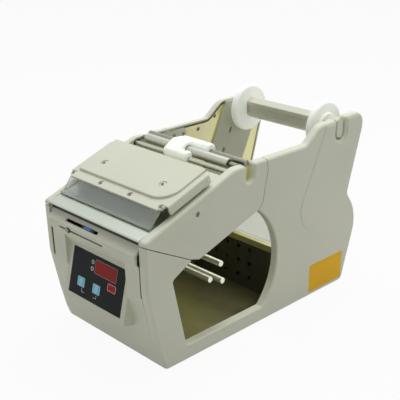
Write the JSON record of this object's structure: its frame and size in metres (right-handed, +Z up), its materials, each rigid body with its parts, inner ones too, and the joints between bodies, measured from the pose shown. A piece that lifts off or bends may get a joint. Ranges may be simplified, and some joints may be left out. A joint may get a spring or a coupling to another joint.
{
  "type": "label dispenser",
  "caption": "Bench-top label dispenser with a flip-up lid over a peel plate, a roll bar with flanged discs, guide rods and a driven liner take-up in an open side bay.",
  "frame": {"origin": "centre of the footprint, on the surface it stands on", "axes": "+X to the right seen from the front, +Y to the back, +Z up; the front faces -Y"},
  "size_m": [0.2, 0.4177, 0.2755],
  "materials": {
    "beige_abs": "fine textured moulding",
    "yellow_zinc": "yellow chromate on zinc plate",
    "grey_zinc": "galvanised",
    "rubber_black": "matte",
    "dark_steel": "dark satin paint",
    "black_plastic": "satin",
    "membrane_black": "printed film",
    "red_filter": "tinted",
    "board_green": "solder mask",
    "key_blue": "satin film",
    "key_red": "satin film",
    "chrome_rod": "ground and plated",
    "black_nylon": "moulded",
    "trimmer_blue": "moulded",
    "screw_steel": "zinc plated",
    "brushed_steel": "brushed across the width",
    "clear_plastic": "clear polycarbonate",
    "aluminium": "turned and anodised",
    "white_nylon": "turned nylon",
    "brass": "turned",
    "motor_steel": "plated can",
    "belt_rubber": "ground rubber"
  },
  "bodies": {
    "housing": {"right_cover": "beige_abs", "left_cover": "beige_abs", "upper_casing": "beige_abs", "front_fascia": "beige_abs", "right_bar_channel": "beige_abs", "left_bar_channel": "beige_abs", "right_side_plate": "yellow_zinc", "left_side_plate": "yellow_zinc", "base_plate": "yellow_zinc", "rear_box_top": "yellow_zinc", "right_rod_bracket": "grey_zinc", "left_rod_bracket": "grey_zinc", "bulkhead": "grey_zinc", "rubber_feet": "rubber_black", "rear_box_panel": "dark_steel", "rear_panel": "dark_steel", "power_inlet": "black_plastic", "membrane_panel": "membrane_black", "display_window": "red_filter", "indicator_lamps": "red_filter", "circuit_board": "board_green", "power_board": "board_green", "sensor_rail": "chrome_rod", "front_guide_rod": "chrome_rod", "rear_guide_rod": "chrome_rod", "idler_shaft": "chrome_rod", "lid_hinge_pins": "chrome_rod", "roller_blocks": "black_nylon", "cover_screws": "screw_steel", "bracket_screws": "screw_steel", "peel_plate": "brushed_steel", "takeup_bush": "brass", "takeup_motor": "motor_steel", "feed_motor": "motor_steel", "takeup_belt": "belt_rubber", "feed_belt": "belt_rubber"},
    "lid": {"lid_cover": "beige_abs", "lid_clear_plate": "clear_plastic", "lid_screws": "screw_steel"},
    "roll_bar_body": {"roll_bar": "beige_abs"},
    "left_disc_body": {"left_disc": "white_nylon"},
    "right_disc_body": {"right_disc": "white_nylon"},
    "label_guide_body": {"label_guide": "white_nylon"},
    "idler_tube_body": {"idler_tube": "aluminium"},
    "feed_roller": {"feed_shaft": "chrome_rod", "feed_sleeve": "belt_rubber"},
    "pinch_roller_body": {"pinch_roller": "belt_rubber"},
    "feed_motor_pulley_body": {"feed_motor_pulley": "black_nylon"},
    "takeup_spindle": {"takeup_hub": "aluminium", "spindle_rods": "chrome_rod", "takeup_shaft": "chrome_rod", "takeup_pulley": "black_nylon"},
    "takeup_motor_pulley_body": {"takeup_motor_pulley": "black_nylon"},
    "sensor": {"sensor_carriage": "black_nylon", "sensor_trimmer": "trimmer_blue", "sensor_lock_screw": "screw_steel"},
    "up_key_body": {"up_key": "key_blue"},
    "down_key_body": {"down_key": "key_blue"},
    "reset_key_body": {"reset_key": "key_red"},
    "power_rocker_body": {"power_rocker": "black_plastic"}
  },
  "joints": [
    {"name": "lid_hinge", "type": "hinge", "parent": "housing", "child": "lid", "pos_m": [0, -0.09552, 0.22908], "axis": [-1, 0, 0], "range_deg": [0, 115]},
    {"name": "roll_bar_lift", "type": "slide", "parent": "housing", "child": "roll_bar_body", "axis": [0, 0, 1], "range_m": [0, 0.045]},
    {"name": "left_disc_slide", "type": "slide", "parent": "roll_bar_body", "child": "left_disc_body", "axis": [1, 0, 0], "range_m": [0, 0.06]},
    {"name": "right_disc_slide", "type": "slide", "parent": "roll_bar_body", "child": "right_disc_body", "axis": [1, 0, 0], "range_m": [-0.06, 0.006]},
    {"name": "label_guide_slide", "type": "slide", "parent": "housing", "child": "label_guide_body", "axis": [1, 0, 0], "range_m": [-0.055, 0.05]},
    {"name": "idler_tube_spin", "type": "hinge", "parent": "housing", "child": "idler_tube_body", "pos_m": [0, -0.0423, 0.232], "axis": [1, 0, 0], "continuous": true},
    {"name": "feed_roller_spin", "type": "hinge", "parent": "housing", "child": "feed_roller", "pos_m": [0, -0.1458, 0.172], "axis": [1, 0, 0], "continuous": true},
    {"name": "pinch_roller_spin", "type": "hinge", "parent": "housing", "child": "pinch_roller_body", "pos_m": [0, -0.13291, 0.15664], "axis": [1, 0, 0], "continuous": true},
    {"name": "feed_motor_pulley_spin", "type": "hinge", "parent": "housing", "child": "feed_motor_pulley_body", "pos_m": [0, -0.1728, 0.1355], "axis": [1, 0, 0], "continuous": true},
    {"name": "takeup_spin", "type": "hinge", "parent": "housing", "child": "takeup_spindle", "pos_m": [0, -0.0654, 0.088], "axis": [1, 0, 0], "continuous": true},
    {"name": "takeup_motor_pulley_spin", "type": "hinge", "parent": "housing", "child": "takeup_motor_pulley_body", "pos_m": [0, 0.0862, 0.052], "axis": [1, 0, 0], "continuous": true},
    {"name": "sensor_slide", "type": "slide", "parent": "housing", "child": "sensor", "axis": [1, 0, 0], "range_m": [-0.017, 0.0078]},
    {"name": "up_key_press", "type": "slide", "parent": "housing", "child": "up_key_body", "axis": [0, 0.9734, -0.229], "range_m": [0, 0.0005], "stiffness_N_per_m": 400},
    {"name": "down_key_press", "type": "slide", "parent": "housing", "child": "down_key_body", "axis": [0, 0.9734, -0.229], "range_m": [0, 0.0005], "stiffness_N_per_m": 400},
    {"name": "reset_key_press", "type": "slide", "parent": "housing", "child": "reset_key_body", "axis": [0, 0.9734, -0.229], "range_m": [0, 0.0005], "stiffness_N_per_m": 400},
    {"name": "power_rocker_tilt", "type": "hinge", "parent": "housing", "child": "power_rocker_body", "pos_m": [0.042, 0.1667, 0.062], "axis": [0, 0, 1], "range_deg": [0, 12]}
  ],
  "couplings": [
    {"joint": "pinch_roller_spin", "follows": "feed_roller_spin", "ratio": -1.5},
    {"joint": "feed_motor_pulley_spin", "follows": "feed_roller_spin", "ratio": 1.8333},
    {"joint": "takeup_motor_pulley_spin", "follows": "takeup_spin", "ratio": 2.75}
  ]
}
